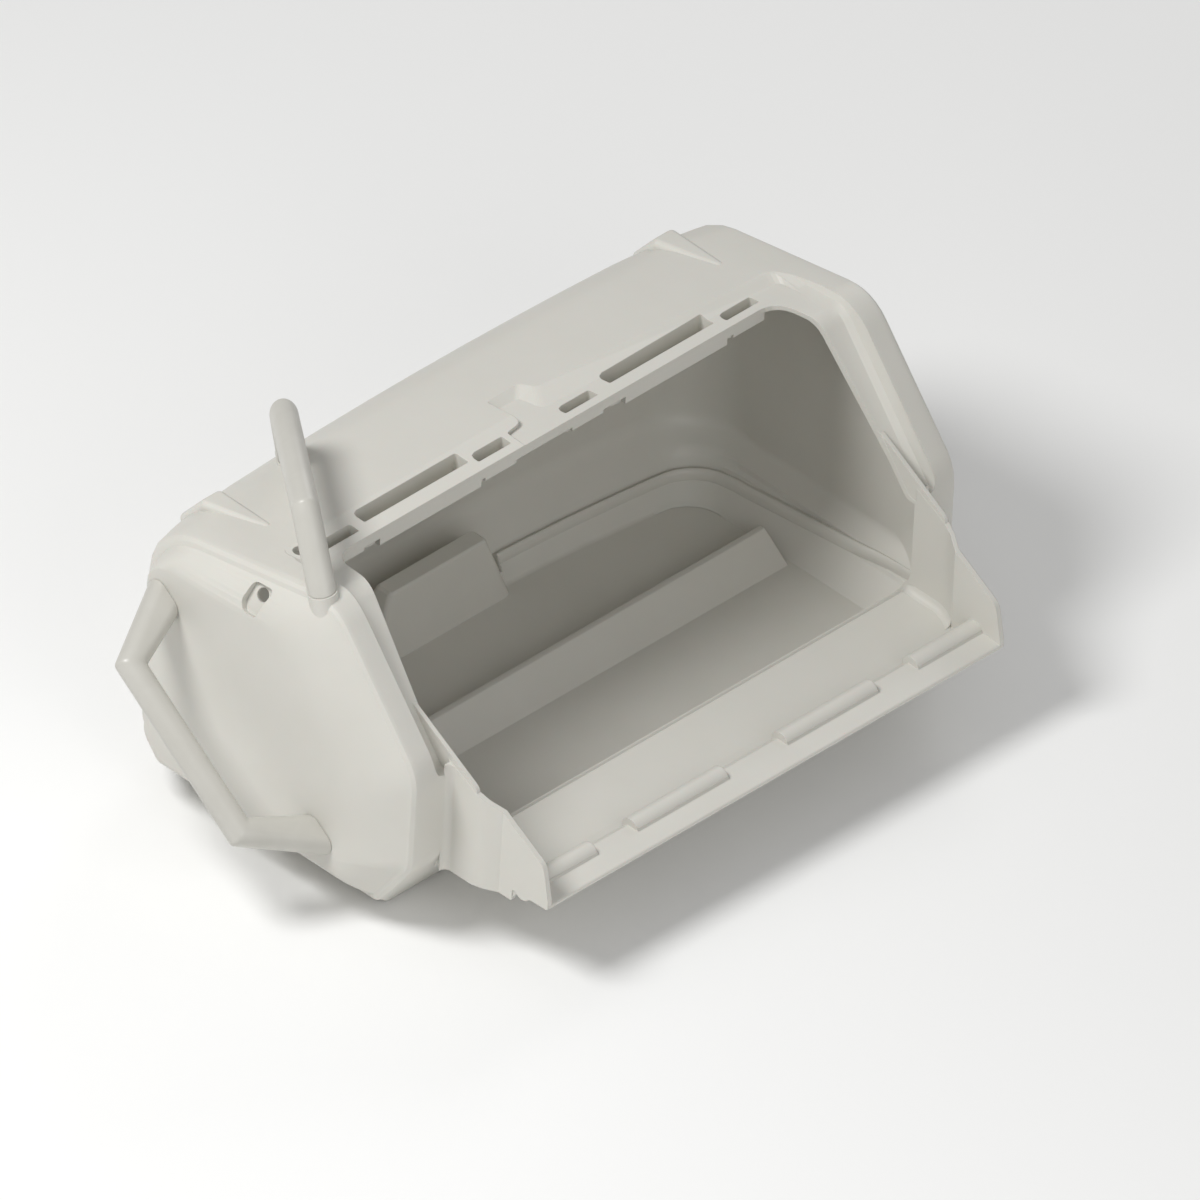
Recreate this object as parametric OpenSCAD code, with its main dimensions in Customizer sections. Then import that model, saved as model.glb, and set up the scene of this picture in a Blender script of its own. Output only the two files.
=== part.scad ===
// Grass catcher for a walk-behind reel mower: a moulded shell open at the front,
// with one carrying handle on its left end and one across its roof.
// X runs along the reel, Y runs back from the front lip, Z is up from the base.

/* [Shell] */
// Distance between the outer faces of the two side wings at the lip
lip_w = 561; // [520:1:600]
// How far each end cap stands out beyond the wings
cap_out = 73; // [66:1:84]
// Thickness of the moulded wall
wall = 5; // [4:0.5:6]
// Height of the roof above the base at its front corner
roof_front_z = 319; // [310:1:330]
// Height of the roof above the base at its rear corner
roof_rear_z = 279; // [270:1:288]
// Distance from the lip to the foot of the rear wall, at mid-length
rear_y = 479; // [465:1:495]
// How far the rear wall comes forward at the ends, from its bowed middle
rear_bow = 28; // [10:1:34]
// Distance from the lip to the upright front wall of the end caps
front_y = 116; // [112:1:122]
// Radius of the upright rear corners
rear_corner_r = 30; // [20:1:36]

/* [Sump] */
// Front edge of the flat base
base_front_y = 174; // [170:1:180]
// Rear edge of the flat base, at mid-length
base_rear_y = 424; // [416:1:430]
// Half length of the flat base
base_half = 300; // [290:1:306]
// Height of the baffle ridge above the floor
ridge_h = 23; // [14:1:30]
// Foot of the ridge's front slope
ridge_y = 268; // [262:1:276]
// Run of the ridge's front slope
ridge_run = 38; // [32:1:44]
// Height of the finger pocket above the base
grip_h = 75; // [60:1:84]
// Length of the finger pocket at the base
grip_len = 180; // [140:1:200]
// Front of the finger pocket, from the lip
grip_y = 409; // [404:1:412]
// Depth of the finger pocket at its top
grip_top = 20; // [18:1:24]

/* [Front opening] */
// Rear edge of the opening in the roof
mouth_y = 287; // [282:1:292]
// Height of the roof's front edge
mouth_z = 302; // [298:1:304]
// Height of the pan between the lip and the sump
pan_z = 73; // [71:0.5:76]
// Depth of the sunk border at the sides of the opening
border_depth = 17; // [13:0.5:19]
// Depth of the long hooks below the roof's front edge
hook_drop = 19; // [15:1:22]
// Length of the two long hooks
hook_len = 125; // [100:1:135]
// Length of the four short clips
clip_len = 38; // [30:1:40]
// Depth of the stiffening rim along the roof's front edge
rim_drop = 11; // [8:1:13]
// Ledge between the front edge and the pocket behind each long hook
hook_ledge = 15.5; // [13:0.5:18]
// Width of that pocket, front to back
hook_pocket = 16.5; // [12:0.5:18]
// Depth of that pocket below the front edge
pocket_depth = 22; // [16:1:24]

/* [Lip] */
// Height of the lip's top at its front edge
lip_z = 87; // [85:0.5:89]
// Height of the locating pads above the lip
pad_h = 9; // [7:0.5:10]
// Radius of the pads' round tops
pad_r = 10; // [9:0.5:11]
// Distance from the lip's front edge to the crest of the pads
pad_y = 32; // [30:0.5:34]

/* [Handles] */
// Diameter of the grip bar
bar_d = 25.4; // [22:0.1:28]
// Distance between the centres of the two feet
foot_span = 246; // [235:1:252]
// Height of the grip bar's centre line above the feet
bar_rise = 68; // [62:1:75]
// How far each leg leans in
leg_lean = 36; // [30:1:40]
// Length of each stadium-shaped foot
foot_len = 40; // [36:1:44]

/* [Fasteners] */
// Thread diameter of the handle screws
screw_d = 8; // [6:0.5:8]
// Depth of thread held in each leg
screw_grip = 24; // [18:1:28]
// Diameter of the washers
washer_d = 24; // [20:0.5:26]
// Thickness of the washers
washer_t = 2; // [1.6:0.1:2.5]

/* [Hidden] */
half_lip = lip_w / 2;
end_x = half_lip + cap_out;
crease_x = end_x - 19;
wing_joggle = 10;
wing_x = half_lip + wing_joggle;
roof_bow = 8;
arc_n = 6;
edge_r = 8;
slope_run = min(26.5, crease_x - edge_r - base_half);
cap_step = 75;
roof_corner_y = 228;
roof_slope = (roof_front_z - roof_rear_z) / (rear_y - 9 - roof_corner_y);
border_back_y = mouth_y + 38;
border_edge = end_x - 46;
ridge_half = base_half - 5;
ridge_crest = 7;
origin_y = (ridge_y + ridge_run + ridge_crest + base_rear_y + 5) / 2;
hook_x = [-151, 151];
clip_x = [-252, -65, 42, 240];
hook_t = 7;
clip_drop = (hook_drop + rim_drop) / 2;
clip_ledge = 10;
clip_pocket = 12;
pocket_wall = wall - 1;
pad_x = [[-half_lip, -197], [-148, -36], [36, 148], [197, half_lip]];
leg_angle = atan(bar_rise / leg_lean);
mitre = leg_angle / 2;
screw_set = 7;
screw_hole_d = screw_d + 1;
head_d = 2 * screw_d;
head_t = 5;
seat_t = 20;
near_trim = 5;
far_trim = 8;
end_handle_feet = [[-end_x, 211.1, 81.2], [-end_x, 409.7, 225.8]];
end_handle_mid = (end_handle_feet[0] + end_handle_feet[1]) / 2;
roof_span = foot_span * 0.9472;
roof_length = rear_y - roof_corner_y;
roof_handle_y = [roof_corner_y + 20.3, roof_corner_y + 20.3 + roof_length * 0.7187];
roof_handle_z = [roof_line(roof_handle_y[0]) - 5.95, roof_line(roof_handle_y[1]) - 7.75];
roof_handle_run = [roof_handle_y[1] - roof_handle_y[0], roof_handle_z[1] - roof_handle_z[0]];
roof_handle_shift = sqrt(roof_span * roof_span - roof_handle_run * roof_handle_run);
roof_handle_near = [29.5 - end_x, roof_handle_y[0], roof_handle_z[0]];
roof_handle_up = [-0.063, 0.234, 0.98];
fin_x = end_x - 75.5;
fin_y = [rear_y - 117, rear_y - 51, rear_y - 29];
socket_depth = 7;
far = 500;
$fn = 64;

// Unit vector along a
function unit(a) = a / norm(a);

// Left-hand normal of a plan vector
function left(a) = [-a[1], a[0]];

function mix(a, b, t) = a + (b - a) * t;

// Height of the roof's straight line over a place y
function roof_line(y) = roof_front_z - (y - roof_corner_y) * roof_slope;

// Arc of n steps that rounds corner p1 between p0 and p2 with radius r
function corner(p0, p1, p2, r, n) =
    let (u = unit(p0 - p1), v = unit(p2 - p1))
    let (half = acos(u * v) / 2, c = p1 + unit(u + v) * r / sin(half))
    let (a = p1 + u * r / tan(half) - c, b = p1 + v * r / tan(half) - c, w = 180 - 2 * half)
    [for (i = [0:n]) c + (a * sin(w * (1 - i / n)) + b * sin(w * i / n)) / sin(w)];

// Closed outline from corners [a, b, r], each rounded by n steps
function rounded(c, n) =
    let (k = len(c))
    [for (i = [0:k - 1])
        let (p = c[(i + k - 1) % k], q = c[i], s = c[(i + 1) % k])
        each corner([p[0], p[1]], [q[0], q[1]], [s[0], s[1]], q[2], n)];

// The same corners moved inward by t, for an outline that runs anticlockwise
function inset(c, t) =
    let (k = len(c))
    [for (i = [0:k - 1])
        let (p = c[(i + k - 1) % k], q = c[i], s = c[(i + 1) % k])
        let (a = left(unit([q[0] - p[0], q[1] - p[1]])), b = left(unit([s[0] - q[0], s[1] - q[1]])))
        let (m = (a + b) * t / (1 + a * b))
        [q[0] + m[0], q[1] + m[1], max(q[2] - t, 2)]];

// Height at which the underside leaves the base, at distance d from the middle
function rise(d) =
    let (slope_end = base_half + slope_run)
    d < base_half ? 0 :
    d < slope_end ? d - base_half :
    slope_run + (1 - sqrt(1 - pow((d - slope_end) / (end_x - slope_end), 2))) * 26;

// How far the upright rear corner has turned in at distance d
function turn_in(d) =
    let (s = max(0, d - (end_x - rear_corner_r)))
    rear_corner_r - sqrt(max(0, rear_corner_r * rear_corner_r - s * s));

// The same at the roof, where the corner is wider
function roof_turn_in(d) = turn_in(d) + 11 * pow(max(0, d - 250) / (crease_x - 250), 2);

// How far the rear has come forward of its middle at distance d
function bow(d, depth) = depth * pow(d / (end_x - 24), 2);

// Corners of the cross-section of the shell at distance d from the middle
function full_section(d) =
    let (b = bow(d, rear_bow) + turn_in(d), t = bow(d, roof_bow) + roof_turn_in(d), z = rise(d))
    [
        [base_front_y - z * 0.7, z, 14],
        [base_rear_y + z - b, z, 12],
        [rear_y - b, 58 + max(0, z - 45), 30],
        [rear_y - 9 - t, roof_rear_z, 68],
        [roof_corner_y, roof_front_z, 50],
        [front_y, 186, 50],
        [front_y, 84, 30]
    ];

// Corners of the flat end face
function face_section() =
    let (z = rise(end_x), b = bow(end_x, rear_bow) + rear_corner_r)
    let (t = bow(end_x, roof_bow) + rear_corner_r)
    [
        [front_y + cap_step + 9, z, 8],
        [rear_y - b - 14, z, 10],
        [rear_y - b, z + 16, 12],
        [rear_y - 9 - t, roof_rear_z - 23, 22],
        [front_y + cap_step + 77, roof_front_z - 56, 30],
        [front_y + cap_step, 135, 45],
        [front_y + cap_step, z + 14, 8]
    ];

// Stations along the shell: [distance from the middle, share of the way to the end face]
function stations() = concat(
    [for (i = [0:5]) [i * (base_half - 5) / 5, 0]],
    [[base_half, 0], [base_half + slope_run / 2, 0]],
    [for (a = [0, 30, 60, 90]) [crease_x - edge_r * (1 - sin(a)), 0]],
    [for (t = [0.08, 0.18, 0.3, 0.45, 0.62, 0.8, 1])
        [mix(crease_x, end_x, 1 - (1 - t) * (1 - t)), t]]);

// How far the section has rounded in towards the crease at distance d
function edge_in(d) =
    let (s = max(0, d - crease_x + edge_r))
    edge_r - sqrt(max(0, edge_r * edge_r - s * s));

// Section corners at a station, moved inward by t
function section_at(s, t) =
    let (d = min(s[0], crease_x))
    let (a = inset(full_section(d), t + edge_in(d)), b = inset(face_section(), t))
    [for (i = [0:len(a) - 1]) mix(a[i], b[i], s[1])];

// One ring of points on side sx
function ring(s, sx, t) =
    let (k = max(0, s[0] - base_half) / (end_x - base_half))
    [for (p = rounded(section_at(s, t), arc_n)) [sx * (s[0] - t * k), p[0], p[1]]];

// Closed skin through a list of rings with equal numbers of points
module skin(rings) {
    n = len(rings[0]);
    m = len(rings);
    points = [for (r = rings) each r];
    sides = [for (i = [0:m - 2], j = [0:n - 1])
        [i * n + j, (i + 1) * n + j, (i + 1) * n + (j + 1) % n, i * n + (j + 1) % n]];
    first = [for (j = [0:n - 1]) j];
    last = [for (j = [0:n - 1]) m * n - 1 - j];
    polyhedron(points, concat(sides, [first, last]), convexity = 8);
}

// The shell's form as a solid, moved inward by t
module shell_form(t) {
    s = stations();
    n = len(s);
    left_rings = [for (i = [n - 1:-1:1]) ring(s[i], -1, t)];
    right_rings = [for (i = [0:n - 1]) ring(s[i], 1, t)];
    skin(concat(left_rings, right_rings));
}

// Prism along X from x0 to x1, of an outline in Y and Z
module along_x(x0, x1) {
    translate([x0, 0, 0]) rotate([90, 0, 90]) linear_extrude(x1 - x0) children();
}

// Puts the middle of the flat base at the origin
module placed() {
    translate([0, -origin_y, 0]) children();
}

// Side view of the space in front of the sunk border
function border_profile() = rounded([
    [60, 172, 1],
    [127, 172, 8],
    [238, 306, 24],
    [mouth_y, mouth_z, 2],
    [border_back_y, roof_line(border_back_y), 1],
    [border_back_y, 380, 1],
    [60, 380, 1]], 4);

// Space cleared by the sunk border, moved into the shell by t
module border_space(t) {
    shape = border_profile();
    rise_at = [[0, 15], [3, 6], [9, 1.5], [17, 0]];
    edges = concat(
        [for (e = rise_at) [-border_edge + e[0] - t, e[1]]],
        [for (i = [3:-1:0]) [border_edge - rise_at[i][0] + t, rise_at[i][1]]]);
    scale_depth = border_depth / 17;
    function lifted(p, r) = [p[0] - 0.77 * r + 0.8 * t, p[1] + 0.64 * r - t];
    skin([for (e = edges) [for (p = shape) [e[0], each lifted(p, e[1] * scale_depth)]]]);
}

// Height of the floor of the border's deep half at a place y
function deep_floor(y) = mouth_z - 0.2 - (y - mouth_y) * 0.156;

// The right half of the border is sunk deeper into the roof, up to an S-shaped step
module deep_border(t) {
    right = border_edge - 8 + t;
    front = mouth_y - 45;
    foot = rounded([
        [-36 - t, front, 1],
        [right - 4, front, 1],
        [right - 4, mouth_y + 20 + t, 8],
        [17 + t, mouth_y + 31 + t, 8],
        [15 + t, mouth_y + 60 + t, 5],
        [-10 - t, mouth_y + 60 + t, 3],
        [-15 - t, mouth_y + 26 + t, 8],
        [-36 - t, mouth_y + 23 + t, 3]], 3);
    brim = rounded([
        [-36 - t, front, 1],
        [right, front, 1],
        [right, mouth_y + 33 + t, 10],
        [32 + t, mouth_y + 53 + t, 8],
        [25 + t, mouth_y + 70 + t, 5],
        [-14 - t, mouth_y + 70 + t, 3],
        [-16 - t, mouth_y + 25 + t, 8],
        [-36 - t, mouth_y + 22 + t, 3]], 3);
    skin([
        [for (p = foot) [p[0], p[1], deep_floor(p[1]) - t]],
        [for (p = brim) [p[0], p[1], max(roof_line(p[1]), deep_floor(p[1]) + 1) - t]],
        [for (p = brim) [p[0], p[1], 380]]]);
}

// Everything taken out of the shell's form to open the front
module mouth_space() {
    half = wing_x - wall;
    intersection() {
        translate([0, 0, 40]) linear_extrude(far) polygon(rounded([
            [-half, -60, 1],
            [half, -60, 1],
            [half, 155, 60],
            [half - 14, mouth_y, 22],
            [14 - half, mouth_y, 22],
            [-half, 155, 60]], 5));
        along_x(-far, far) polygon(rounded([
            [-60, pan_z, 1],
            [122, pan_z, 12],
            [136, pan_z - 12, 6],
            [300, pan_z - 12, 1],
            [300, far, 1],
            [-60, far, 1]], 4));
    }
}

// Wing plate on side sx that carries the mouth down to the lip
module wing(sx) {
    outer = [[half_lip, 0], [half_lip, 60], [half_lip + 7, 73], [wing_x, 84], [wing_x, front_y + 3]];
    inner = [for (i = [len(outer) - 1:-1:0]) [outer[i][0] - wall, outer[i][1]]];
    fillet = 7;
    difference() {
        intersection() {
            scale([sx, 1, 1]) linear_extrude(far) union() {
                polygon(concat(outer, inner));
                difference() {
                    translate([wing_x - 1, front_y - fillet]) square(fillet + 1);
                    translate([wing_x + fillet, front_y - fillet]) circle(fillet, $fn = 32);
                }
            }
            along_x(-far, far) polygon(rounded([
                [0.5, lip_z - 5, 2],
                [0.5, lip_z + 4, 3],
                [8, 126, 14],
                [60, 156, 30],
                [front_y + 8, 188, 1],
                [front_y + 8, pan_z - wall, 1],
                [44, pan_z - wall, 2],
                [44, 80, 1],
                [27, lip_z - 6, 2]], 4));
        }
        pad_hollow(-far, far);
    }
}

// Ribbon of the wall's thickness through points [y, z] of its upper face
module ribbon(points) {
    r = wall / 2;
    along_x(-half_lip + 1, half_lip - 1)
    for (i = [0:len(points) - 2]) hull() {
        translate(points[i] - [0, r]) circle(r, $fn = 12);
        translate(points[i + 1] - [0, r]) circle(r, $fn = 12);
    }
}

module lip_and_pan() {
    ribbon([
        [wall / 2, lip_z],
        [12, lip_z + 1],
        [34, lip_z + 1.5],
        [41, lip_z - 4],
        [47, pan_z + 1],
        [58, pan_z],
        [front_y + 6, pan_z],
        [front_y + 12, pan_z - 5]]);
}

// Raised round-topped pad from x0 to x1 on the lip
module lip_pad(x0, x1) {
    along_x(x0, x1) translate([pad_y, lip_z + pad_h - pad_r]) {
        circle(pad_r, $fn = 32);
        translate([-pad_r, -wall]) square([2 * pad_r, wall]);
        translate([-pad_r - 4, 0]) difference() {
            square([5, 5]);
            translate([0, 5]) circle(4.6, $fn = 24);
        }
    }
}

// Hollow under a pad, open below
module pad_hollow(x0, x1) {
    r = pad_r - wall + 1;
    along_x(x0, x1) translate([pad_y, lip_z + pad_h - pad_r]) {
        circle(r, $fn = 24);
        translate([-r, -20]) square([2 * r, 20]);
    }
}

// Plate below the roof's front edge, centred on x
module latch(x, length, drop) {
    along_x(x - length / 2, x + length / 2) translate([mouth_y, mouth_z]) polygon([
        [0, -1.5],
        [hook_t, -1.5],
        [hook_t, 2.5 - drop],
        [hook_t - 2, -drop],
        [0.5, -drop],
        [0, 0.5 - drop]]);
}

module latches() {
    for (x = hook_x) latch(x, hook_len, hook_drop);
    for (x = clip_x) latch(x, clip_len, clip_drop);
    along_x(clip_x[0], clip_x[3]) translate([mouth_y, mouth_z - rim_drop]) square([wall, rim_drop - 1.5]);
}

// Plan of the pocket behind a latch, grown by g
module pocket_plan(x, length, ledge, width, g) {
    y = mouth_y + ledge;
    offset(delta = g) polygon(rounded([
        [x - length / 2, y, 1.5],
        [x + length / 2, y, 1.5],
        [x + length / 2, y + width, 2],
        [x - length / 2, y + width, 6]], 2));
}

// Pockets behind the latches, their sides and floors moved outward by t
module latch_pockets(t) {
    for (x = hook_x) translate([0, 0, mouth_z - pocket_depth - t]) linear_extrude(far)
        pocket_plan(x - 3, hook_len + 3, hook_ledge, hook_pocket, t);
    for (x = clip_x) translate([0, 0, mouth_z - pocket_depth * 0.7 - t]) linear_extrude(far)
        pocket_plan(x + 2, clip_len + 2, clip_ledge, clip_pocket, t);
}

// Cross ridge on the floor, moved inward by t to give its channel
module baffle_ridge(t) {
    crest_z = wall + ridge_h - t;
    crest_y = ridge_y + ridge_run;
    along_x(-ridge_half + t, ridge_half - t) polygon(rounded([
        [ridge_y + 1.9 * t, -1, 1],
        [crest_y + 0.4 * t, crest_z, 3 - 0.45 * t],
        [crest_y + ridge_crest - 0.4 * t, crest_z, 3 - 0.45 * t],
        [crest_y + ridge_crest + 5 - t, -1, 1]], 3));
}

// Finger pocket pressed up into the floor at the rear, moved inward by t
module finger_pocket(t) {
    hull() {
        rounded_slab(grip_len / 2 - t, grip_y - 3 + t, grip_y + 48 - t, -1, 10);
        rounded_slab(grip_len / 3 - t, grip_y + 5 + t, grip_y + 5 + grip_top - t, grip_h - t - 3, 5);
        rounded_slab(grip_len / 3 - t - 3, grip_y + 7 + t, grip_y + 3 + grip_top - t, grip_h - t - 1, 3);
    }
}

module rounded_slab(half, y0, y1, z, r) {
    for (x = [-half + r, half - r], y = [y0 + r, y1 - r])
        translate([x, y, z]) cylinder(r = r, h = 1, $fn = 24);
}

// Tapered fin on the rear of the roof
module roof_fin(x) {
    hull() {
        translate([x, fin_y[0], roof_line(fin_y[0]) - 4.9]) sphere(5, $fn = 16);
        for (dx = [-8, 8]) {
            translate([x + dx, fin_y[1], roof_line(fin_y[1]) - 2.9]) sphere(6, $fn = 16);
            translate([x + dx, fin_y[2], roof_rear_z - 23]) sphere(6, $fn = 16);
        }
    }
}

// Frame on the left shoulder with X up the slope and Z out of it
module on_shoulder() {
    translate([7 - end_x, 304.5, 282]) rotate([0, -62, 0]) children();
}

// Outline of the socket on the left shoulder, grown by g
module socket_outline(g) {
    offset(delta = g) polygon(rounded([
        [-16, -4, 4],
        [15, -13, 4],
        [13, 12, 6],
        [-7, 15.5, 8],
        [-16, 11, 5]], 3));
}

// Moulded sockets that only the left end has
module left_sockets() {
    translate([-289, 311, roof_front_z - 16]) {
        cylinder(d = 26, h = far, $fn = 36);
        translate([0, 0, -20]) cylinder(d = 13, h = far, $fn = 24);
    }
    on_shoulder() {
        translate([0, 0, -socket_depth]) linear_extrude(far) socket_outline(0);
        translate([4.4, 1.2, -30]) cylinder(d = 13, h = far, $fn = 24);
    }
}

// Material left inside under the socket on the shoulder
module socket_boss() {
    on_shoulder() translate([0, 0, -socket_depth - wall + 1]) linear_extrude(far) socket_outline(wall - 1);
}

// Frame with X along the handle on the end face and Z out of the face
module on_end() {
    dir = unit(end_handle_feet[1] - end_handle_feet[0]);
    axes_at(end_handle_mid, dir, [-1, 0, 0]) children();
}

// Frame with X along the handle on the roof and Z up through its bar
module on_roof() {
    dir = [roof_handle_shift, roof_handle_run[0], roof_handle_run[1]] / roof_span;
    mid = roof_handle_near + dir * roof_span / 2;
    side = unit(cross(roof_handle_up, dir));
    axes_at(mid, dir, cross(dir, side)) children();
}

// Frame at point p with its X along u and its Z along w
module axes_at(p, u, w) {
    v = cross(w, u);
    multmatrix([
        [u[0], v[0], w[0], p[0]],
        [u[1], v[1], w[1], p[1]],
        [u[2], v[2], w[2], p[2]]]) children();
}

// Screw positions of a handle, in from the middles of its feet: [x, height of the seat]
function screw_places(span, seats) = [
    [-span / 2 + screw_set, seats[0]],
    [span / 2 - screw_set, seats[1]]];

// Stadium-shaped outline of a foot, grown by g
module foot_outline(g) {
    hull() for (sx = [-1, 1])
        translate([sx * (foot_len - bar_d) / 2, 0]) circle(d = bar_d + 2 * g, $fn = 32);
}

// Seats moulded on the roof to carry the feet of the roof handle level
module roof_seats() {
    on_roof() {
        translate([-roof_span / 2 + 2, 0, near_trim - 40]) linear_extrude(40) foot_outline(0.6);
        translate([roof_span / 2 - 4, 0, far_trim - 30]) linear_extrude(30) foot_outline(0.6);
    }
}

// Bosses left inside under those seats
module roof_bosses() {
    on_roof() for (s = screw_places(roof_span, [near_trim, far_trim]))
        translate([s[0], 0, s[1] - seat_t]) cylinder(d = washer_d + 6, h = far, $fn = 36);
}

// Room inside for the washers and screw heads
module washer_room() {
    on_end() for (s = screw_places(foot_span, [0, 0]))
        translate([s[0], 0, -wall - 30]) cylinder(d = washer_d + 2, h = 30, $fn = 36);
    on_roof() for (s = screw_places(roof_span, [near_trim, far_trim]))
        translate([s[0], 0, s[1] - seat_t - 30]) cylinder(d = washer_d + 2, h = 30, $fn = 36);
}

module screw_holes() {
    on_end() for (s = screw_places(foot_span, [0, 0]))
        translate([s[0], 0, -1.5 * seat_t]) cylinder(d = screw_hole_d, h = 3 * seat_t, $fn = 24);
    on_roof() for (s = screw_places(roof_span, [near_trim, far_trim]))
        translate([s[0], 0, s[1] - 3 * seat_t]) cylinder(d = screw_hole_d, h = 5 * seat_t, $fn = 24);
}

module catcher_body() {
    color("gainsboro") placed() difference() {
        union() {
            difference() {
                union() {
                    shell_form(0);
                    for (x = [-fin_x, fin_x]) roof_fin(x);
                    roof_seats();
                }
                border_space(0);
                deep_border(0);
                difference() {
                    shell_form(wall);
                    border_space(wall);
                    deep_border(wall);
                    baffle_ridge(0);
                    finger_pocket(0);
                    roof_bosses();
                    socket_boss();
                    latch_pockets(pocket_wall);
                }
                mouth_space();
            }
            for (sx = [-1, 1]) wing(sx);
            lip_and_pan();
            for (x = pad_x) lip_pad(x[0], x[1]);
            latches();
        }
        baffle_ridge(wall);
        finger_pocket(wall);
        for (x = pad_x) pad_hollow(x[0] + wall, x[1] - wall);
        latch_pockets(0);
        left_sockets();
        washer_room();
        screw_holes();
    }
}

// One leg of a handle of a given span, cut off for its seat at height trim
module handle_leg(span, trim) {
    difference() {
        hull() {
            translate([span / 2 - leg_lean - 1, 0, bar_rise]) rotate([0, 90 + mitre, 0])
                linear_extrude(0.5) scale([1 / cos(mitre), 1]) circle(d = bar_d - 0.3, $fn = 48);
            translate([span / 2, 0, -0.5]) linear_extrude(0.5) foot_outline(-0.15);
        }
        translate([span / 2 - 50, -50, trim - 100]) cube(100);
    }
}

// Bar handle with two leaning legs mitred to it, cut off for seats at two heights
module bar_handle(span, seats) {
    half = span / 2 - leg_lean;
    slant = bar_d * tan(mitre);
    difference() {
        union() {
            translate([0, 0, bar_rise]) intersection() {
                translate([-half - bar_d, 0, 0]) rotate([0, 90, 0])
                    cylinder(d = bar_d, h = 2 * (half + bar_d));
                rotate([90, 0, 0]) linear_extrude(2 * bar_d, center = true) polygon([
                    [-half + slant, -bar_d],
                    [half - slant, -bar_d],
                    [half + slant, bar_d],
                    [-half - slant, bar_d]]);
            }
            handle_leg(span, seats[1]);
            mirror([1, 0, 0]) handle_leg(span, seats[0]);
        }
        for (s = screw_places(span, seats))
            translate([s[0], 0, s[1] - 1]) cylinder(d = screw_d, h = screw_grip + 2);
    }
}

module end_handle() {
    color("whitesmoke") placed() on_end() bar_handle(foot_span, [0, 0]);
}

module roof_handle() {
    color("whitesmoke") placed() on_roof() bar_handle(roof_span, [near_trim, far_trim]);
}

// Screw whose head bears on a washer, through a wall of thickness through
module handle_screw(through) {
    translate([0, 0, -through - washer_t]) difference() {
        union() {
            cylinder(d = screw_d, h = through + washer_t + screw_grip);
            translate([0, 0, -head_t]) cylinder(d = head_d, h = head_t);
        }
        translate([0, 0, -head_t - 1]) cylinder(d = screw_d * 0.85, h = 4, $fn = 6);
    }
}

module washer() {
    difference() {
        cylinder(d = washer_d, h = washer_t);
        translate([0, 0, -1]) cylinder(d = screw_d + 0.4, h = washer_t + 2);
    }
}

module end_handle_screws() {
    color("silver") placed() on_end() for (s = screw_places(foot_span, [0, 0]))
        translate([s[0], 0, s[1]]) handle_screw(wall);
}

module roof_handle_screws() {
    color("silver") placed() on_roof() for (s = screw_places(roof_span, [near_trim, far_trim]))
        translate([s[0], 0, s[1]]) handle_screw(seat_t);
}

module end_handle_washers() {
    color("silver") placed() on_end() for (s = screw_places(foot_span, [0, 0]))
        translate([s[0], 0, s[1] - wall - washer_t]) washer();
}

module roof_handle_washers() {
    color("silver") placed() on_roof() for (s = screw_places(roof_span, [near_trim, far_trim]))
        translate([s[0], 0, s[1] - seat_t - washer_t]) washer();
}

catcher_body();
end_handle();
roof_handle();
end_handle_screws();
roof_handle_screws();
end_handle_washers();
roof_handle_washers();
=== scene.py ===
import math
import bmesh
import bpy
from mathutils import Matrix, Vector
from mathutils.bvhtree import BVHTree


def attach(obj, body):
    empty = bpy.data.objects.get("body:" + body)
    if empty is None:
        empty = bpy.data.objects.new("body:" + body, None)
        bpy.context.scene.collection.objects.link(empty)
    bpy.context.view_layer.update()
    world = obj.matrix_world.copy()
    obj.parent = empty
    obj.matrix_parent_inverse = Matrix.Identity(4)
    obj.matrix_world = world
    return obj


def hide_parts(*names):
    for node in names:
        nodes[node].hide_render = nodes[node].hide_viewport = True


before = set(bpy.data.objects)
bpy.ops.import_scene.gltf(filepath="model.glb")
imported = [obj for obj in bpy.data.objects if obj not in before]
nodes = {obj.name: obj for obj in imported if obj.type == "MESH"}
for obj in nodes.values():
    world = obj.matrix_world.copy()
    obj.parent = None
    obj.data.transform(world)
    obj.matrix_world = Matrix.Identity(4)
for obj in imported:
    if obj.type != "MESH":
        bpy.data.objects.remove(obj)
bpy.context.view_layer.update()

print("loaded", len(nodes), "nodes")


def linearColour(hexCode):
    # sRGB hex to the linear values that Blender's sockets take
    channels = [int(hexCode[i:i + 2], 16) / 255 for i in (1, 3, 5)]
    linear = [c / 12.92 if c <= 0.04045 else ((c + 0.055) / 1.055) ** 2.4 for c in channels]
    return (*linear, 1.0)


def addNode(tree, kind, settings=None, values=None, links=None):
    # one node: its settings, its socket values, and the outputs that feed it
    node = tree.nodes.new(kind)
    for key, value in (settings or {}).items():
        setattr(node, key, value)
    for socket, value in (values or {}).items():
        node.inputs[socket].default_value = value
    for socket, source in (links or {}).items():
        tree.links.new(source, node.inputs[socket])
    return node


def newMaterial(name):
    material = bpy.data.materials.new(name)
    material.use_nodes = True
    material.node_tree.nodes.clear()
    return material, material.node_tree


def driftingLook(tree, skin, pattern):
    # colour and roughness that drift together with a pattern, as links for the shader
    colour = addNode(tree, "ShaderNodeMix", {"data_type": "RGBA"},
                     {"A": linearColour(skin["colour"]), "B": linearColour(skin["otherColour"])},
                     {"Factor": pattern})
    rough = addNode(tree, "ShaderNodeMapRange", None,
                    {"To Min": skin["roughness"] - skin["roughnessSwing"],
                     "To Max": skin["roughness"] + skin["roughnessSwing"]},
                    {"Value": pattern})
    return {"Base Color": colour.outputs["Result"], "Roughness": rough.outputs["Result"]}


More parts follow.
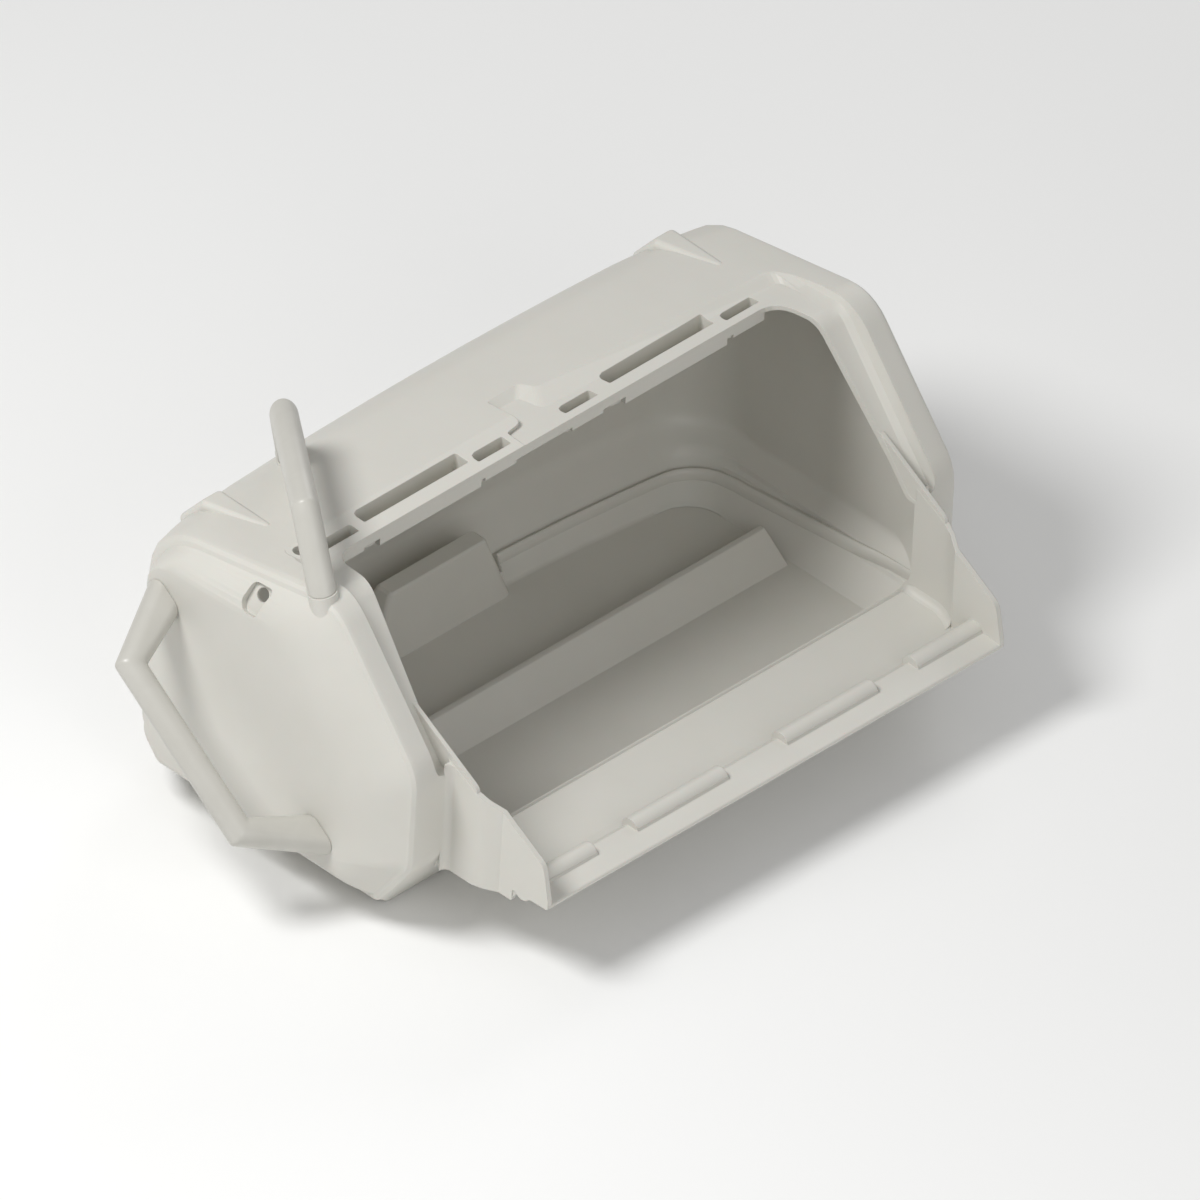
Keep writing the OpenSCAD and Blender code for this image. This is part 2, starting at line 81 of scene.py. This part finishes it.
# Polyethylene, rotomoulded: an even satin skin, a little milky, with the soft orange
# peel of the mould and faint clouds where the powder flowed. The fine grain over it is
# drawn about twice as coarse as the real one, so that it shows
shellSkin = {
    "colour": "#D2D0C9",
    "otherColour": "#CAC8C0",
    "cloudSize": 0.085,
    "cloudDetail": 3.0,
    "grainSize": 0.0011,
    "grainDetail": 2.0,
    "grainDepth": 0.00005,
    "grainStrength": 0.6,
    "peelSize": 0.009,
    "peelDetail": 1.0,
    "peelDepth": 0.00018,
    "peelStrength": 0.5,
    "roughness": 0.46,
    "roughnessSwing": 0.07,
    "ior": 1.51,
    "milkiness": 0.06,
    "milkyDepth": 0.003,
    "edgeRadius": 0.0011,
    "edgeSamples": 6,
}


def rotomouldedPolyethylene():
    skin = shellSkin
    material, tree = newMaterial("rotomouldedPolyethylene")
    coords = addNode(tree, "ShaderNodeTexCoord").outputs["Object"]
    clouds = addNode(tree, "ShaderNodeTexNoise", None,
                     {"Scale": 1 / skin["cloudSize"], "Detail": skin["cloudDetail"]},
                     {"Vector": coords})
    peel = addNode(tree, "ShaderNodeTexNoise", None,
                   {"Scale": 1 / skin["peelSize"], "Detail": skin["peelDetail"]},
                   {"Vector": coords})
    grain = addNode(tree, "ShaderNodeTexNoise", None,
                    {"Scale": 1 / skin["grainSize"], "Detail": skin["grainDetail"]},
                    {"Vector": coords})
    edges = addNode(tree, "ShaderNodeBevel", {"samples": skin["edgeSamples"]},
                    {"Radius": skin["edgeRadius"]})
    peelBump = addNode(tree, "ShaderNodeBump", None,
                       {"Strength": skin["peelStrength"], "Distance": skin["peelDepth"]},
                       {"Height": peel.outputs["Fac"], "Normal": edges.outputs["Normal"]})
    grainBump = addNode(tree, "ShaderNodeBump", None,
                        {"Strength": skin["grainStrength"], "Distance": skin["grainDepth"]},
                        {"Height": grain.outputs["Fac"], "Normal": peelBump.outputs["Normal"]})
    shader = addNode(tree, "ShaderNodeBsdfPrincipled", None,
                     {"IOR": skin["ior"], "Subsurface Weight": skin["milkiness"],
                      "Subsurface Scale": skin["milkyDepth"]},
                     {**driftingLook(tree, skin, clouds.outputs["Fac"]),
                      "Normal": grainBump.outputs["Normal"]})
    addNode(tree, "ShaderNodeOutputMaterial", None, None, {"Surface": shader.outputs["BSDF"]})
    return material


# Nylon, injection moulded: denser and a little glossier than the shell, with soft
# streaks of flow and a spark-eroded grain for grip, drawn coarser than the real one
# so that it shows
handleSkin = {
    "colour": "#C4C2BB",
    "otherColour": "#BBB9B1",
    "streakSize": 0.03,
    "streakDetail": 2.0,
    "streakTwist": 0.6,
    "grainSize": 0.0009,
    "grainDetail": 2.0,
    "grainDepth": 0.00007,
    "grainStrength": 0.6,
    "roughness": 0.36,
    "roughnessSwing": 0.06,
    "ior": 1.53,
    "edgeRadius": 0.0008,
    "edgeSamples": 6,
}


def mouldedNylon():
    skin = handleSkin
    material, tree = newMaterial("mouldedNylon")
    coords = addNode(tree, "ShaderNodeTexCoord").outputs["Object"]
    streaks = addNode(tree, "ShaderNodeTexNoise", None,
                      {"Scale": 1 / skin["streakSize"], "Detail": skin["streakDetail"],
                       "Distortion": skin["streakTwist"]},
                      {"Vector": coords})
    grain = addNode(tree, "ShaderNodeTexNoise", None,
                    {"Scale": 1 / skin["grainSize"], "Detail": skin["grainDetail"]},
                    {"Vector": coords})
    edges = addNode(tree, "ShaderNodeBevel", {"samples": skin["edgeSamples"]},
                    {"Radius": skin["edgeRadius"]})
    bump = addNode(tree, "ShaderNodeBump", None,
                   {"Strength": skin["grainStrength"], "Distance": skin["grainDepth"]},
                   {"Height": grain.outputs["Fac"], "Normal": edges.outputs["Normal"]})
    shader = addNode(tree, "ShaderNodeBsdfPrincipled", None, {"IOR": skin["ior"]},
                     {**driftingLook(tree, skin, streaks.outputs["Fac"]),
                      "Normal": bump.outputs["Normal"]})
    addNode(tree, "ShaderNodeOutputMaterial", None, None, {"Surface": shader.outputs["BSDF"]})
    return material


# Steel, zinc plated: a cool bright metal with duller patches, its shine broken by the
# crystals of the plating, which are drawn much coarser than real so that they show
zincSkin = {
    "colour": "#B9BBBD",
    "otherColour": "#A2A4A6",
    "dullSize": 0.006,
    "dullDetail": 3.0,
    "crystalSize": 0.0016,
    "crystalDepth": 0.00003,
    "crystalStrength": 0.5,
    "roughness": 0.34,
    "roughnessSwing": 0.12,
}


def zincPlatedSteel():
    skin = zincSkin
    material, tree = newMaterial("zincPlatedSteel")
    coords = addNode(tree, "ShaderNodeTexCoord").outputs["Object"]
    dull = addNode(tree, "ShaderNodeTexNoise", None,
                   {"Scale": 1 / skin["dullSize"], "Detail": skin["dullDetail"]},
                   {"Vector": coords})
    crystals = addNode(tree, "ShaderNodeTexVoronoi", None, {"Scale": 1 / skin["crystalSize"]},
                       {"Vector": coords})
    bump = addNode(tree, "ShaderNodeBump", None,
                   {"Strength": skin["crystalStrength"], "Distance": skin["crystalDepth"]},
                   {"Height": crystals.outputs["Distance"]})
    shader = addNode(tree, "ShaderNodeBsdfPrincipled", None, {"Metallic": 1.0},
                     {**driftingLook(tree, skin, dull.outputs["Fac"]),
                      "Normal": bump.outputs["Normal"]})
    addNode(tree, "ShaderNodeOutputMaterial", None, None, {"Surface": shader.outputs["BSDF"]})
    return material


# Shading of the CAD pieces: curved walls read as smooth, real edges stay crisp. The
# shallow steps of the sunk border lie in the zone, where finer creases count too
shading = {
    "joinDistance": 0.00002,
    "sharpAngle": 24.0,
    "zoneAngle": 7.0,
    "zoneMiddle": (0.0, -0.048, 0.300),
    "zoneHalf": (0.312, 0.043, 0.030),
}


def softShading():
    tree = bpy.data.node_groups.new("softShading", "GeometryNodeTree")
    for way in ("INPUT", "OUTPUT"):
        tree.interface.new_socket("Geometry", in_out=way, socket_type="NodeSocketGeometry")
    source = addNode(tree, "NodeGroupInput")
    joined = addNode(tree, "GeometryNodeMergeByDistance", None,
                     {"Distance": shading["joinDistance"]},
                     {"Geometry": source.outputs["Geometry"]})
    # distance from the middle of the zone, as a share of its half size along each axis
    place = addNode(tree, "GeometryNodeInputPosition")
    offset = addNode(tree, "ShaderNodeVectorMath", {"operation": "SUBTRACT"},
                     {1: shading["zoneMiddle"]}, {0: place.outputs["Position"]})
    share = addNode(tree, "ShaderNodeVectorMath", {"operation": "DIVIDE"},
                    {1: shading["zoneHalf"]}, {0: offset.outputs["Vector"]})
    size = addNode(tree, "ShaderNodeVectorMath", {"operation": "ABSOLUTE"}, None,
                   {0: share.outputs["Vector"]})
    parts = addNode(tree, "ShaderNodeSeparateXYZ", None, None, {"Vector": size.outputs["Vector"]})
    wide = addNode(tree, "ShaderNodeMath", {"operation": "MAXIMUM"}, None,
                   {0: parts.outputs["X"], 1: parts.outputs["Y"]})
    most = addNode(tree, "ShaderNodeMath", {"operation": "MAXIMUM"}, None,
                   {0: wide.outputs["Value"], 1: parts.outputs["Z"]})
    outside = addNode(tree, "FunctionNodeCompare",
                      {"data_type": "FLOAT", "operation": "GREATER_THAN"},
                      {"B": 1.0}, {"A": most.outputs["Value"]})
    limit = addNode(tree, "GeometryNodeSwitch", {"input_type": "FLOAT"},
                    {"False": math.radians(shading["zoneAngle"]),
                     "True": math.radians(shading["sharpAngle"])},
                    {"Switch": outside.outputs["Result"]})
    angle = addNode(tree, "GeometryNodeInputMeshEdgeAngle")
    sharp = addNode(tree, "FunctionNodeCompare",
                    {"data_type": "FLOAT", "operation": "GREATER_THAN"}, None,
                    {"A": angle.outputs["Unsigned Angle"], "B": limit.outputs["Output"]})
    shaded = addNode(tree, "GeometryNodeSetMeshNormal", {"mode": "SHARPNESS"}, None,
                     {"Mesh": joined.outputs["Geometry"],
                      "Edge Sharpness": sharp.outputs["Result"]})
    addNode(tree, "NodeGroupOutput", None, None, {"Geometry": shaded.outputs["Mesh"]})
    return tree


def dressNode(name, material, smoothing):
    # the CAD node keeps its shape and takes a finish and smooth shading
    piece = nodes[name]
    piece.data.materials.clear()
    piece.data.materials.append(material)
    piece.modifiers.new("softShading", "NODES").node_group = smoothing
    piece.modifiers.new("weightedNormals", "WEIGHTED_NORMAL").keep_sharp = True


shellMaterial = rotomouldedPolyethylene()
handleMaterial = mouldedNylon()
zincMaterial = zincPlatedSteel()
smoothing = softShading()
dressNode("catcher_body", shellMaterial, smoothing)
for name in ("end_handle_screws", "roof_handle_screws",
             "end_handle_washers", "roof_handle_washers"):
    dressNode(name, zincMaterial, smoothing)
print("materials set")


def addObject(name, data):
    item = bpy.data.objects.new(name, data)
    bpy.context.scene.collection.objects.link(item)
    return item


def axesMatrix(x, y, z, origin):
    matrix = Matrix((x, y, z)).transposed().to_4x4()
    matrix.translation = origin
    return matrix


def skinRings(mesh, rings):
    # joins closed rings of points by a skin, caps its two ends, and returns the vertices
    verts = [[mesh.verts.new(point) for point in ring] for ring in rings]
    count = len(verts[0])
    for near, far in zip(verts, verts[1:]):
        for i in range(count):
            following = (i + 1) % count
            mesh.faces.new((near[i], near[following], far[following], far[i]))
    mesh.faces.new(verts[0][::-1])
    mesh.faces.new(verts[-1])
    return verts


def addPiece(name, mesh, material, sharpAngle):
    # a bmesh becomes a smooth piece with crisp edges, fixed to the catcher
    limit = math.radians(sharpAngle)
    bmesh.ops.recalc_face_normals(mesh, faces=mesh.faces)
    for face in mesh.faces:
        face.smooth = True
    for edge in mesh.edges:
        edge.smooth = edge.calc_face_angle(0.0) < limit
    data = bpy.data.meshes.new(name)
    mesh.to_mesh(data)
    mesh.free()
    data.materials.append(material)
    piece = addObject(name, data)
    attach(piece, "root")
    return piece


# Bar handles: a round bar mitred to two legs that lean in and widen to stadium feet.
# start and end are the middles of the feet, seats the heights at which the feet are cut
handles = {
    "barRadius": 0.0127,
    "rise": 0.068,
    "lean": 0.036,
    "footLength": 0.040,
    "ringPoints": 64,
    "legRings": 6,
    "mitreRound": 0.0024,
    "footRound": 0.0014,
    "roundSteps": 3,
    "screwInset": 0.007,
    "screwRadius": 0.004,
    "screwDepth": 0.025,
    "sharpAngle": 35.0,
    "places": {
        "end_handle": {
            "start": (-0.3535, -0.1599, 0.0812),
            "end": (-0.3535, 0.0387, 0.2258),
            "up": (-1.0, 0.0, 0.0),
            "seats": (0.0, 0.0),
        },
        "roof_handle": {
            "start": (-0.3240, -0.1227, 0.3097),
            "end": (-0.17994, 0.0577, 0.2781),
            "up": (-0.063, 0.234, 0.98),
            "seats": (0.005, 0.008),
        },
    },
}


def handleRings(span, seats):
    # closed rings of points from the bottom of one screw hole, over the bar, to the other
    h = handles
    half = span / 2 - h["lean"]
    slant = math.tan(math.atan2(h["rise"], h["lean"]) / 2)
    turns = [(i + 0.5) * math.tau / h["ringPoints"] for i in range(h["ringPoints"])]
    spread = h["footLength"] / 2 - h["barRadius"]

    def mitre(turn, side):
        lift = h["barRadius"] * math.cos(turn)
        return Vector((side * (half + slant * lift), h["barRadius"] * math.sin(turn),
                       h["rise"] + lift))

    def foot(turn, side):
        reach = math.copysign(spread, math.cos(turn)) + h["barRadius"] * math.cos(turn)
        return Vector((side * (span / 2 + reach), h["barRadius"] * math.sin(turn), 0.0))

    def leg(side, seat):
        # from the foot, cut level at the seat, up to the mitre
        rings = []
        for step in range(h["legRings"] + 1):
            ring = []
            for turn in turns:
                top, bottom = mitre(turn, side), foot(turn, side)
                cut = bottom.lerp(top, seat / top.z)
                ring.append(cut.lerp(top, step / h["legRings"]))
            rings.append(ring)
        return rings

    def hole(side, seat):
        # from the bottom of the screw hole to its rim
        middle = side * (span / 2 - h["screwInset"])
        radius = h["screwRadius"]
        return [[Vector((middle + side * radius * math.cos(turn), radius * math.sin(turn), z))
                 for turn in turns] for z in (seat + h["screwDepth"], seat)]

    first = hole(-1, seats[0]) + leg(-1, seats[0])
    second = hole(1, seats[1]) + leg(1, seats[1])
    return first + second[::-1]


def addHandle(name):
    h = handles
    place = h["places"][name]
    start, end = Vector(place["start"]), Vector(place["end"])
    along = (end - start).normalized()
    across = Vector(place["up"]).cross(along).normalized()
    upright = along.cross(across)

    mesh = bmesh.new()
    verts = skinRings(mesh, handleRings((end - start).length, place["seats"]))

    def edgesRound(number):
        # edges of the ring with this number, counted from each end of the handle
        rings = (verts[number], verts[-1 - number])
        return [mesh.edges.get((ring[i - 1], ring[i])) for ring in rings for i in range(len(ring))]

    foot = 2                          # rings 0 and 1 are the screw hole
    mitre = foot + h["legRings"]
    for number, radius in ((foot, h["footRound"]), (mitre, h["mitreRound"])):
        bmesh.ops.bevel(mesh, geom=edgesRound(number), offset=radius, segments=h["roundSteps"],
                        profile=0.5, affect="EDGES", clamp_overlap=False)
    mesh.transform(axesMatrix(along, across, upright, (start + end) / 2))
    piece = addPiece(name + "Bar", mesh, handleMaterial, h["sharpAngle"])
    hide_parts(name)


for name in handles["places"]:
    addHandle(name)
print("handles built")


# Forms added to the moulding: each has a left one and a right one
addedForms = {
    "sides": {"Left": -1, "Right": 1},
    "sharpAngle": 38.0,
}


def addForm(name, rings):
    mesh = bmesh.new()
    skinRings(mesh, rings)
    addPiece(name, mesh, shellMaterial, addedForms["sharpAngle"])


# Inside of the sump: the two rear corners are filled to a wide radius, and a low rib
# runs round the sloping wall. Both are found from the walls of the CAD body, by rays
# that start at look. radii gives the corners' radius at each height, and tops where
# they end, sinking into the wall; the left one ends below the washer of the end handle.
# The rib climbs towards the front by tilt, as the drawing has it
sump = {
    "look": (0.2, -0.02),
    "rayShift": 0.00001,
    "radii": ((0.0052, 0.037), (0.020, 0.040), (0.050, 0.060)),
    "tops": {-1: 0.207, 1: 0.262},
    "topFade": 0.040,
    "topSink": 0.0035,
    "layers": 56,
    "layerSpacing": 1.3,
    "arcSteps": 18,
    "cornerSlopeStep": 0.02,
    "overlap": 0.010,
    "overlapDip": 0.0005,
    "skinLift": 0.00015,
    "skinDepth": 0.0008,
    "ribHeight": 0.0190,
    "tilt": 0.0638,
    "ribBack": 0.045,
    "ribStart": 0.080,
    "ribEnd": -0.2100,
    "ribEndLean": 0.69,
    "ribPoints": 14,
    "ribSlopeStep": 0.004,
    "sideSpread": 1.4,
    "endSpread": 0.4,
    "taperPoints": 4,
    "ribSection": ((0.0008, -0.0006), (0.0, 0.0010), (0.0004, 0.0072), (0.0014, 0.0100),
                   (0.0030, 0.0112), (0.0048, 0.0106), (0.0064, 0.0090), (0.0086, 0.0080)),
}
bodyMesh = nodes["catcher_body"].data
walls = BVHTree.FromPolygons([vertex.co for vertex in bodyMesh.vertices],
                             [face.vertices for face in bodyMesh.polygons])


def eased(share):
    # from 0 to 1 with a soft start and end
    share = min(1, max(0, share))
    return share * share * (3 - 2 * share)


def radiusAt(height):
    knots = sump["radii"]
    for (low, first), (high, second) in zip(knots, knots[1:]):
        if height <= high:
            return first + (second - first) * eased((height - low) / (high - low))
    return knots[-1][1]


def wallHit(start, direction):
    # nearest of three close rays, so that none is lost between two faces
    hits = [walls.ray_cast(Vector(start) + Vector((0, 0, i * sump["rayShift"])), Vector(direction))
            for i in (-1, 0, 1)]
    return min((hit for hit in hits if hit[0] is not None), key=lambda hit: hit[3])[0]


def rearWall(x, height):
    return wallHit((x, sump["look"][1], height), (0, 1, 0)).y


def endWall(side, height):
    return wallHit((side * sump["look"][0], sump["look"][1], height), (side, 0, 0)).x


def cornerLine(side, height):
    # points and outward directions round one rear corner at a height, rear wall first
    radius = radiusAt(height)
    step = side * sump["cornerSlopeStep"]
    middleX = endWall(side, height) - side * (radius + sump["skinLift"])
    slope = (rearWall(middleX, height) - rearWall(middleX - step, height)) / step
    middleY = rearWall(middleX, height) - (radius + sump["skinLift"]) * math.hypot(1, slope)
    middle = Vector((middleX, middleY, height))
    first = math.atan2(1, -slope * side)
    turns = [first * (1 - i / sump["arcSteps"]) for i in range(sump["arcSteps"] + 1)]
    outward = [Vector((side * math.cos(turn), math.sin(turn), 0)) for turn in turns]
    points = [middle + way * radius for way in outward]
    # one more point at each end runs on along the wall and dips into it
    rearWay = Vector((-side * math.sin(first), math.cos(first), 0))
    frontWay = Vector((0, -1, 0))
    before = points[0] + rearWay * sump["overlap"] + outward[0] * sump["overlapDip"]
    after = points[-1] + frontWay * sump["overlap"] + outward[-1] * sump["overlapDip"]
    return [before, *points, after], [outward[0], *outward, outward[-1]]


def addCorner(side, name):
    low, high = sump["radii"][0][0], sump["tops"][side]
    rings = []
    for layer in range(sump["layers"] + 1):
        height = low + (high - low) * (layer / sump["layers"]) ** sump["layerSpacing"]
        sink = sump["topSink"] * eased((height - high) / sump["topFade"] + 1)
        line = list(zip(*cornerLine(side, height)))
        face = [point + way * sink for point, way in line]
        back = [point + way * (sink + sump["skinDepth"]) for point, way in line]
        rings.append(face + back[::-1])
    addForm(name, rings)


def ribHeight(y):
    return sump["ribHeight"] + sump["tilt"] * (sump["ribBack"] - y)


def addRib(side, name):
    # stations of the path: point on the wall, direction into the wall, spread of the section
    path = []
    level, outward = cornerLine(side, sump["ribHeight"])
    corner = [cornerLine(side, ribHeight(point.y))[0][i] for i, point in enumerate(level)]
    points, step = sump["ribPoints"], sump["ribSlopeStep"]
    startX = side * sump["ribStart"]
    for i in range(points):
        x = startX + (corner[0].x - startX) * i / points
        height = ribHeight(rearWall(x, sump["ribHeight"]))
        slope = (rearWall(x + step, height) - rearWall(x - step, height)) / (2 * step)
        path.append((Vector((x, rearWall(x, height), height)),
                     Vector((-slope, 1, 0)).normalized(), 1))
    for i, (point, way) in enumerate(zip(corner, outward)):
        path.append((point, way, 1 + (sump["sideSpread"] - 1) * i / (len(corner) - 1)))
    for i in range(1, points + 1):
        y = corner[-1].y + (sump["ribEnd"] - corner[-1].y) * i / points
        height = ribHeight(y)
        taper = max(0, 1 - (points - i) / sump["taperPoints"])
        spread = sump["sideSpread"] + (sump["endSpread"] - sump["sideSpread"]) * taper
        path.append((Vector((endWall(side, height), y, height)), Vector((side, 0, 0)), spread))

    rings = []
    for i, (point, way, spread) in enumerate(path):
        lean = sump["ribEndLean"] if i == len(path) - 1 else 0
        rings.append([point + way * (out * spread) + Vector((0, -lean * up, up))
                      for out, up in sump["ribSection"]])
    addForm(name, rings)


for hand, side in addedForms["sides"].items():
    addCorner(side, "sumpCorner" + hand)
    addRib(side, "sumpRib" + hand)
print("sump corners and rib built")


# Fillet where the pan runs into the foot of each wing. line gives the distance of a
# station from the lip, the wing's inner face there, and how far the pan has dropped
panFillet = {
    "line": ((0.060, 0.2757, 0.0), (0.073, 0.2825, 0.0), (0.084, 0.2855, 0.0),
             (0.112, 0.2855, 0.0), (0.1215, 0.2862, 0.0), (0.1265, 0.2862, 0.0035),
             (0.1310, 0.2862, 0.0115)),
    "panTop": 0.073,
    "lip": -0.371,
    "section": ((-0.0070, 0.00012), (-0.0046, 0.0004), (-0.0025, 0.0015), (-0.0010, 0.0036),
                (-0.0002, 0.0068), (0.0014, 0.0068), (0.0014, -0.0035), (-0.0070, -0.0035)),
}


def addPanFillet(side, name):
    rings = []
    for distance, face, drop in panFillet["line"]:
        y, top = panFillet["lip"] + distance, panFillet["panTop"] - drop
        rings.append([(side * (face + out), y, top + up) for out, up in panFillet["section"]])
    addForm(name, rings)


for hand, side in addedForms["sides"].items():
    addPanFillet(side, "panFillet" + hand)
print("pan fillets built")


# The top edge of each wing runs on up the border as a web. outline gives y and z, the
# upper edge first; the rest of it is buried in the wing and the border. faces are the
# distances of its two flat sides from the mid-plane
wingWeb = {
    "outline": ((-0.2880, 0.1668), (-0.2868, 0.1712), (-0.2840, 0.1740), (-0.2049, 0.2195),
                (-0.2041, 0.2189), (-0.2305, 0.1865), (-0.2400, 0.1710), (-0.2880, 0.1600)),
    "faces": (0.28565, 0.28995),
}


def addWeb(side, name):
    addForm(name, [[(side * x, y, z) for y, z in wingWeb["outline"]] for x in wingWeb["faces"]])


for hand, side in addedForms["sides"].items():
    addWeb(side, "wingWeb" + hand)
print("wing webs built")


# Camera, floor and light
studio = {
    "target": (-0.0166, -0.1653, 0.1687),
    "direction": (1.0, 0.934, -1.0618),
    "up": (0.0, 0.0638, 0.998),
    "frameWidth": 1.0434,
    "distance": 4.0,
    "clipEnd": 20.0,
    "floorHalf": 8.0,
    "floorColour": "#F6F6F5",
    "floorRoughness": 0.9,
    "worldColour": "#FFFFFF",
    "worldStrength": 0.34,
    "aim": (0.0, -0.12, 0.15),
    "lamps": {
        "keyLamp": {"place": (-1.7, 0.5, 2.6), "size": 1.1, "power": 60.0},
        "fillLamp": {"place": (-0.9, -2.6, 1.5), "size": 2.2, "power": 20.0},
        "rimLamp": {"place": (2.3, 0.9, 1.8), "size": 1.4, "power": 10.0},
    },
}


def lookAlong(direction, up, position):
    # the matrix of a camera or lamp that looks along direction
    back = -Vector(direction).normalized()
    right = Vector(up).cross(back).normalized()
    return axesMatrix(right, back.cross(right), back, position)


def addCamera():
    lens = bpy.data.cameras.new("camera")
    lens.type = "ORTHO"
    lens.ortho_scale = studio["frameWidth"]
    lens.clip_end = studio["clipEnd"]
    camera = addObject("camera", lens)
    direction = Vector(studio["direction"]).normalized()
    place = Vector(studio["target"]) - direction * studio["distance"]
    camera.matrix_world = lookAlong(direction, studio["up"], place)
    bpy.context.scene.camera = camera


def addFloor():
    half = studio["floorHalf"]
    corners = [(-half, -half, 0), (half, -half, 0), (half, half, 0), (-half, half, 0)]
    mesh = bpy.data.meshes.new("floor")
    mesh.from_pydata(corners, [], [(0, 1, 2, 3)])
    material, tree = newMaterial("paintedFloor")
    shader = addNode(tree, "ShaderNodeBsdfPrincipled", None,
                     {"Base Color": linearColour(studio["floorColour"]),
                      "Roughness": studio["floorRoughness"]})
    addNode(tree, "ShaderNodeOutputMaterial", None, None, {"Surface": shader.outputs["BSDF"]})
    mesh.materials.append(material)
    floor = addObject("floor", mesh)


def addLamp(name, values):
    lamp = bpy.data.lights.new(name, "AREA")
    lamp.shape = "DISK"
    lamp.size = values["size"]
    lamp.energy = values["power"]
    holder = addObject(name, lamp)
    place = Vector(values["place"])
    holder.matrix_world = lookAlong(Vector(studio["aim"]) - place, (0, 0, 1), place)


def addLight():
    world = bpy.data.worlds.new("studio")
    world.use_nodes = True
    shade = world.node_tree.nodes["Background"]
    shade.inputs["Color"].default_value = linearColour(studio["worldColour"])
    shade.inputs["Strength"].default_value = studio["worldStrength"]
    bpy.context.scene.world = world
    for name, values in studio["lamps"].items():
        addLamp(name, values)


addCamera()
addFloor()
addLight()
bpy.context.scene.view_settings.view_transform = "Standard"
print("studio set")
